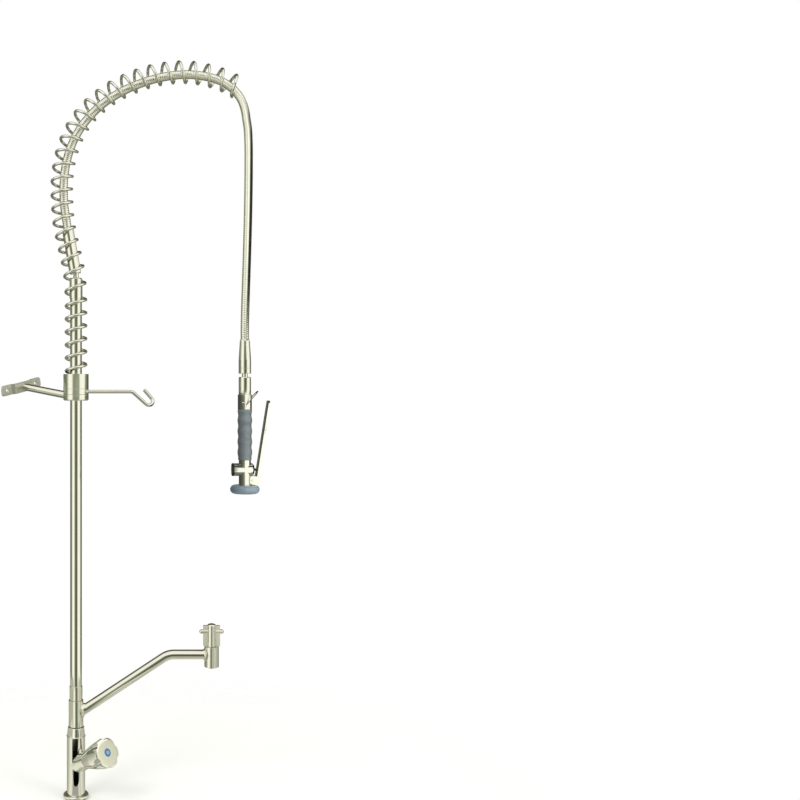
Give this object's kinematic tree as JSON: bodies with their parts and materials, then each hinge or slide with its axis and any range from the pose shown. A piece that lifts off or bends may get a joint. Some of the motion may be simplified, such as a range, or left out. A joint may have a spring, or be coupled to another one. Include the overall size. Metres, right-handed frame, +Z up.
{
  "type": "pre-rinse faucet",
  "caption": "Deck-mounted pre-rinse faucet: tap base, swivel spout with its own valve, riser with wall support, balance spring, armoured hose and trigger hand spray on a hook.",
  "frame": {"origin": "centre of the tap hole, on the top face of the worktop, which the gasket under the base rests on", "axes": "+Z up along the riser, +X along the spout and the hook towards the hanging handset, +Y away from the user; the knob points to +X -Y and the wall support arm to -X +Y"},
  "size_m": [0.4609, 0.1865, 1.309],
  "materials": {
    "chrome_plate": "bright chrome plate",
    "polished_steel": "polished stainless steel",
    "satin_steel": "satin stainless steel",
    "armour_steel": "interlocked stainless armour",
    "dark_steel": "black oxide",
    "brass": "machined",
    "black_rubber": "matt",
    "grip_rubber": "matt moulded rubber",
    "black_plastic": "satin",
    "white_plastic": "satin",
    "teal_plastic": "satin",
    "blue_plastic": "glossy"
  },
  "bodies": {
    "base": {"inlet_shank": "brass", "deck_gasket": "black_rubber", "base_flange": "chrome_plate", "base_body": "chrome_plate", "deck_washer": "black_rubber", "back_nut": "brass", "headwork_bonnet": "brass", "headwork_seal": "black_rubber", "swivel_nut": "chrome_plate", "swivel_core": "brass", "swivel_orings": "black_rubber", "swivel_washer": "black_plastic", "riser_sleeve": "polished_steel", "riser_tube": "polished_steel", "spring_cup": "polished_steel", "hook_ring": "polished_steel", "handset_hook": "polished_steel", "bracket_ring": "polished_steel", "bracket_arm": "polished_steel", "wall_bracket": "satin_steel", "grub_screws": "dark_steel", "lower_hose_nut": "polished_steel", "lower_hose_washer": "black_rubber"},
    "knob": {"tap_knob": "chrome_plate", "tap_spindle": "brass", "knob_screw": "dark_steel", "knob_index": "blue_plastic"},
    "jumper": {"valve_jumper": "brass", "jumper_washer": "black_rubber"},
    "spout": {"spout_hub": "polished_steel", "spout_tube": "polished_steel", "outlet_body": "polished_steel", "outlet_cartridge": "brass", "aerator_ring": "polished_steel", "aerator_screen": "white_plastic"},
    "outlet_handle": {"outlet_spindle": "brass", "wing_handle": "polished_steel", "handle_pin": "polished_steel"},
    "arch": {"balance_spring": "polished_steel", "lower_hose_nipple": "polished_steel", "lower_hose_ferrule": "polished_steel", "hose_arch": "armour_steel"},
    "drop": {"hose_drop": "armour_steel", "upper_hose_ferrule": "polished_steel", "upper_hose_nipple": "polished_steel"},
    "handset": {"upper_hose_nut": "polished_steel", "upper_hose_washer": "black_rubber", "handset_pipe": "polished_steel", "clip_collar": "chrome_plate", "grip_sleeve": "grip_rubber", "valve_body": "chrome_plate", "barrel_cap": "black_plastic", "valve_spring": "polished_steel", "stem_seal": "teal_plastic", "lever_pin": "polished_steel", "spray_bumper": "grip_rubber", "spray_plate": "satin_steel"},
    "lever": {"trigger_lever": "chrome_plate"},
    "plunger": {"valve_plunger": "teal_plastic"},
    "clip": {"hold_clip": "polished_steel"}
  },
  "joints": [
    {"name": "tap_turn", "type": "hinge", "parent": "base", "child": "knob", "pos_m": [0, 0, 0.056], "axis": [0.63, -0.63, 0.454], "range_deg": [0, 720]},
    {"name": "jumper_lift", "type": "slide", "parent": "base", "child": "jumper", "axis": [0.63, -0.63, 0.454], "range_m": [0, 0.0042]},
    {"name": "spout_swivel", "type": "hinge", "parent": "base", "child": "spout", "pos_m": [0, 0, 0.1], "axis": [0, 0, 1], "continuous": true},
    {"name": "outlet_turn", "type": "hinge", "parent": "spout", "child": "outlet_handle", "pos_m": [0.2305, 0, 0.25], "axis": [0, 0, 1], "range_deg": [0, 90]},
    {"name": "arch_swing", "type": "hinge", "parent": "base", "child": "arch", "pos_m": [0, 0, 0.87], "axis": [0, 0, 1], "range_deg": [-90, 90]},
    {"name": "hose_sway", "type": "hinge", "parent": "arch", "child": "drop", "pos_m": [0.29, 0, 1.15], "axis": [0, -1, 0], "range_deg": [-14, 25], "deforming": ["hose_arch", "hose_drop"]},
    {"name": "handset_spin", "type": "hinge", "parent": "drop", "child": "handset", "pos_m": [0.287, 0, 0.7], "axis": [0, 0, 1], "continuous": true},
    {"name": "lever_squeeze", "type": "hinge", "parent": "handset", "child": "lever", "pos_m": [0.2995, 0, 0.539], "axis": [0, -1, 0], "range_deg": [0, 7.5], "stiffness_Nm_per_rad": 1.5, "springref_deg": -5.73},
    {"name": "plunger_push", "type": "slide", "parent": "handset", "child": "plunger", "axis": [-1, 0, 0], "range_m": [0, 0.003], "deforming": ["valve_spring"]},
    {"name": "clip_turn", "type": "hinge", "parent": "handset", "child": "clip", "pos_m": [0.289, 0, 0.6676], "axis": [0, 1, 0], "range_deg": [-18, 74]}
  ],
  "couplings": [
    {"joint": "jumper_lift", "follows": "tap_turn", "m_per_rad": 0.00031831},
    {"joint": "plunger_push", "follows": "lever_squeeze", "m_per_rad": 0.018}
  ]
}
